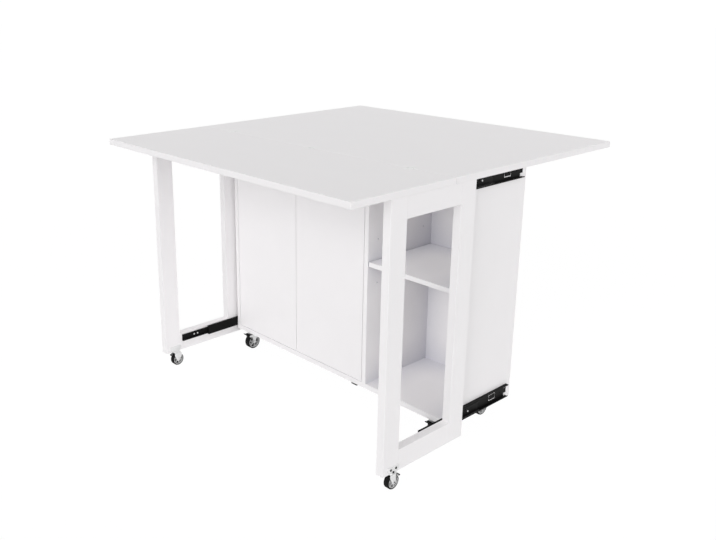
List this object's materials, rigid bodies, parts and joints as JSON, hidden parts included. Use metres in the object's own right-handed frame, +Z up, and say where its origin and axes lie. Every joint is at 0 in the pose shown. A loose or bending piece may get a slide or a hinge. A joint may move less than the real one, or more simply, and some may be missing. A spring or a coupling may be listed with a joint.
{
  "type": "folding kitchen island",
  "caption": "Rolling kitchen island with an inset two-door cupboard, an open shelf bay, sliding gate frames and a flip-over top leaf that the frames hold level.",
  "frame": {"origin": "on the floor, under the middle of the tabletop's outline with the leaf unfolded", "axes": "+Z up; +Y from the doors to the back; +X along the tabletop towards the open bay"},
  "size_m": [1.2, 1.257, 0.914],
  "materials": {
    "top_board": "white laminated board, satin",
    "white_board": "white melamine-faced board, satin",
    "enamelled_steel": "white enamel, gloss",
    "zinc_steel": "zinc plated",
    "black_steel": "black, semi-gloss",
    "bracket_steel": "light grey lacquer",
    "white_plastic": "moulded",
    "grey_plastic": "moulded",
    "black_plastic": "moulded",
    "wheel_rubber": "black tread on a moulded grey hub",
    "dowel_wood": "raw birch"
  },
  "bodies": {
    "cabinet": {"fixed_top": "top_board", "top_hinge_plates": "enamelled_steel", "left_side_panel": "white_board", "right_side_panel": "white_board", "divider_panel": "white_board", "bottom_panel": "white_board", "back_panel": "white_board", "front_top_rail": "white_board", "back_top_rail": "white_board", "bay_shelf": "white_board", "cupboard_shelf": "white_board", "shelf_clips": "zinc_steel", "dowels": "dowel_wood", "top_screws": "zinc_steel", "pivot_bushes": "white_plastic", "latch_housings": "white_plastic", "slide_outers": "black_steel", "slide_screws": "black_steel", "caster_plates": "zinc_steel", "caster_screws": "zinc_steel", "centre_glide": "black_plastic"},
    "hinge_link_set": {"hinge_links": "enamelled_steel", "hinge_pins": "zinc_steel"},
    "leaf": {"front_leaf": "top_board", "leaf_hinge_plates": "enamelled_steel"},
    "left_door_leaf": {"left_door": "white_board", "left_door_fittings": "zinc_steel"},
    "right_door_leaf": {"right_door": "white_board", "right_door_fittings": "zinc_steel"},
    "left_plunger": {"left_latch_plunger": "grey_plastic"},
    "right_plunger": {"right_latch_plunger": "grey_plastic"},
    "right_frame": {"right_frame_front_stile": "white_board", "right_frame_back_stile": "white_board", "right_frame_top_rail": "white_board", "right_frame_bottom_rail": "white_board", "right_slide_inners": "black_steel", "right_frame_caster": "bracket_steel"},
    "left_frame": {"left_frame_front_stile": "white_board", "left_frame_back_stile": "white_board", "left_frame_top_rail": "white_board", "left_frame_bottom_rail": "white_board", "left_slide_inners": "black_steel", "left_frame_caster": "bracket_steel"},
    "right_middle_members": {"right_slide_middles": "black_steel"},
    "left_middle_members": {"left_slide_middles": "black_steel"},
    "right_leg_wheel": {"right_frame_wheel": "wheel_rubber"},
    "left_leg_wheel": {"left_frame_wheel": "wheel_rubber"},
    "right_leg_brake": {"right_frame_brake": "black_plastic"},
    "left_leg_brake": {"left_frame_brake": "black_plastic"},
    "front_left_swivel": {"front_left_fork": "zinc_steel"},
    "front_left_roller": {"front_left_wheel": "wheel_rubber"},
    "front_left_brake": {"front_left_pedal": "black_plastic"},
    "front_right_swivel": {"front_right_fork": "zinc_steel"},
    "front_right_roller": {"front_right_wheel": "wheel_rubber"},
    "front_right_brake": {"front_right_pedal": "black_plastic"},
    "back_left_swivel": {"back_left_fork": "zinc_steel"},
    "back_left_roller": {"back_left_wheel": "wheel_rubber"},
    "back_right_swivel": {"back_right_fork": "zinc_steel"},
    "back_right_roller": {"back_right_wheel": "wheel_rubber"}
  },
  "joints": [
    {"name": "hinge_link_fold", "type": "hinge", "parent": "cabinet", "child": "hinge_link_set", "pos_m": [0, -0.2049, 0.9115], "axis": [-1, 0, 0], "range_deg": [0, 90]},
    {"name": "leaf_fold", "type": "hinge", "parent": "hinge_link_set", "child": "leaf", "pos_m": [0, -0.2149, 0.9115], "axis": [-1, 0, 0], "range_deg": [0, 90]},
    {"name": "left_door_swing", "type": "hinge", "parent": "cabinet", "child": "left_door_leaf", "pos_m": [-0.5158, -0.1173, 0.48], "axis": [0, 0, -1], "range_deg": [0, 92]},
    {"name": "right_door_swing", "type": "hinge", "parent": "cabinet", "child": "right_door_leaf", "pos_m": [0.1518, -0.1173, 0.48], "axis": [0, 0, 1], "range_deg": [0, 105]},
    {"name": "left_latch_push", "type": "slide", "parent": "cabinet", "child": "left_plunger", "axis": [0, 1, 0], "range_m": [0, 0.003], "stiffness_N_per_m": 400, "springref_m": -0.002},
    {"name": "right_latch_push", "type": "slide", "parent": "cabinet", "child": "right_plunger", "axis": [0, 1, 0], "range_m": [0, 0.003], "stiffness_N_per_m": 400, "springref_m": -0.002},
    {"name": "right_frame_slide", "type": "slide", "parent": "cabinet", "child": "right_frame", "axis": [0, 1, 0], "range_m": [0, 0.268]},
    {"name": "left_frame_slide", "type": "slide", "parent": "cabinet", "child": "left_frame", "axis": [0, 1, 0], "range_m": [0, 0.268]},
    {"name": "right_middle_slide", "type": "slide", "parent": "cabinet", "child": "right_middle_members", "axis": [0, 1, 0], "range_m": [0, 0.134]},
    {"name": "left_middle_slide", "type": "slide", "parent": "cabinet", "child": "left_middle_members", "axis": [0, 1, 0], "range_m": [0, 0.134]},
    {"name": "right_leg_wheel_spin", "type": "hinge", "parent": "right_frame", "child": "right_leg_wheel", "pos_m": [0.582, -0.4223, 0.024], "axis": [1, 0, 0], "continuous": true},
    {"name": "right_leg_brake_press", "type": "hinge", "parent": "right_frame", "child": "right_leg_brake", "pos_m": [0.5944, -0.4093, 0.0445], "axis": [-1, 0, 0], "range_deg": [0, 10]},
    {"name": "left_leg_wheel_spin", "type": "hinge", "parent": "left_frame", "child": "left_leg_wheel", "pos_m": [-0.552, -0.4223, 0.024], "axis": [1, 0, 0], "continuous": true},
    {"name": "left_leg_brake_press", "type": "hinge", "parent": "left_frame", "child": "left_leg_brake", "pos_m": [-0.5644, -0.4353, 0.0445], "axis": [1, 0, 0], "range_deg": [0, 10]},
    {"name": "front_left_swivel_turn", "type": "hinge", "parent": "cabinet", "child": "front_left_swivel", "pos_m": [-0.4798, -0.0773, 0.062], "axis": [0, 0, 1], "continuous": true},
    {"name": "front_left_wheel_spin", "type": "hinge", "parent": "front_left_swivel", "child": "front_left_roller", "pos_m": [-0.4798, -0.1013, 0.029], "axis": [1, 0, 0], "continuous": true},
    {"name": "front_left_brake_press", "type": "hinge", "parent": "front_left_swivel", "child": "front_left_brake", "pos_m": [-0.4798, -0.1213, 0.0595], "axis": [1, 0, 0], "range_deg": [0, 18]},
    {"name": "front_right_swivel_turn", "type": "hinge", "parent": "cabinet", "child": "front_right_swivel", "pos_m": [0.4798, -0.0773, 0.062], "axis": [0, 0, 1], "continuous": true},
    {"name": "front_right_wheel_spin", "type": "hinge", "parent": "front_right_swivel", "child": "front_right_roller", "pos_m": [0.4798, -0.1013, 0.029], "axis": [1, 0, 0], "continuous": true},
    {"name": "front_right_brake_press", "type": "hinge", "parent": "front_right_swivel", "child": "front_right_brake", "pos_m": [0.4798, -0.1213, 0.0595], "axis": [1, 0, 0], "range_deg": [0, 18]},
    {"name": "back_left_swivel_turn", "type": "hinge", "parent": "cabinet", "child": "back_left_swivel", "pos_m": [-0.4798, 0.1667, 0.062], "axis": [0, 0, 1], "continuous": true},
    {"name": "back_left_wheel_spin", "type": "hinge", "parent": "back_left_swivel", "child": "back_left_roller", "pos_m": [-0.4798, 0.1427, 0.029], "axis": [1, 0, 0], "continuous": true},
    {"name": "back_right_swivel_turn", "type": "hinge", "parent": "cabinet", "child": "back_right_swivel", "pos_m": [0.4798, 0.1667, 0.062], "axis": [0, 0, 1], "continuous": true},
    {"name": "back_right_wheel_spin", "type": "hinge", "parent": "back_right_swivel", "child": "back_right_roller", "pos_m": [0.4798, 0.1427, 0.029], "axis": [1, 0, 0], "continuous": true}
  ],
  "couplings": [
    {"joint": "right_middle_slide", "follows": "right_frame_slide", "ratio": 0.5},
    {"joint": "left_middle_slide", "follows": "left_frame_slide", "ratio": 0.5}
  ]
}
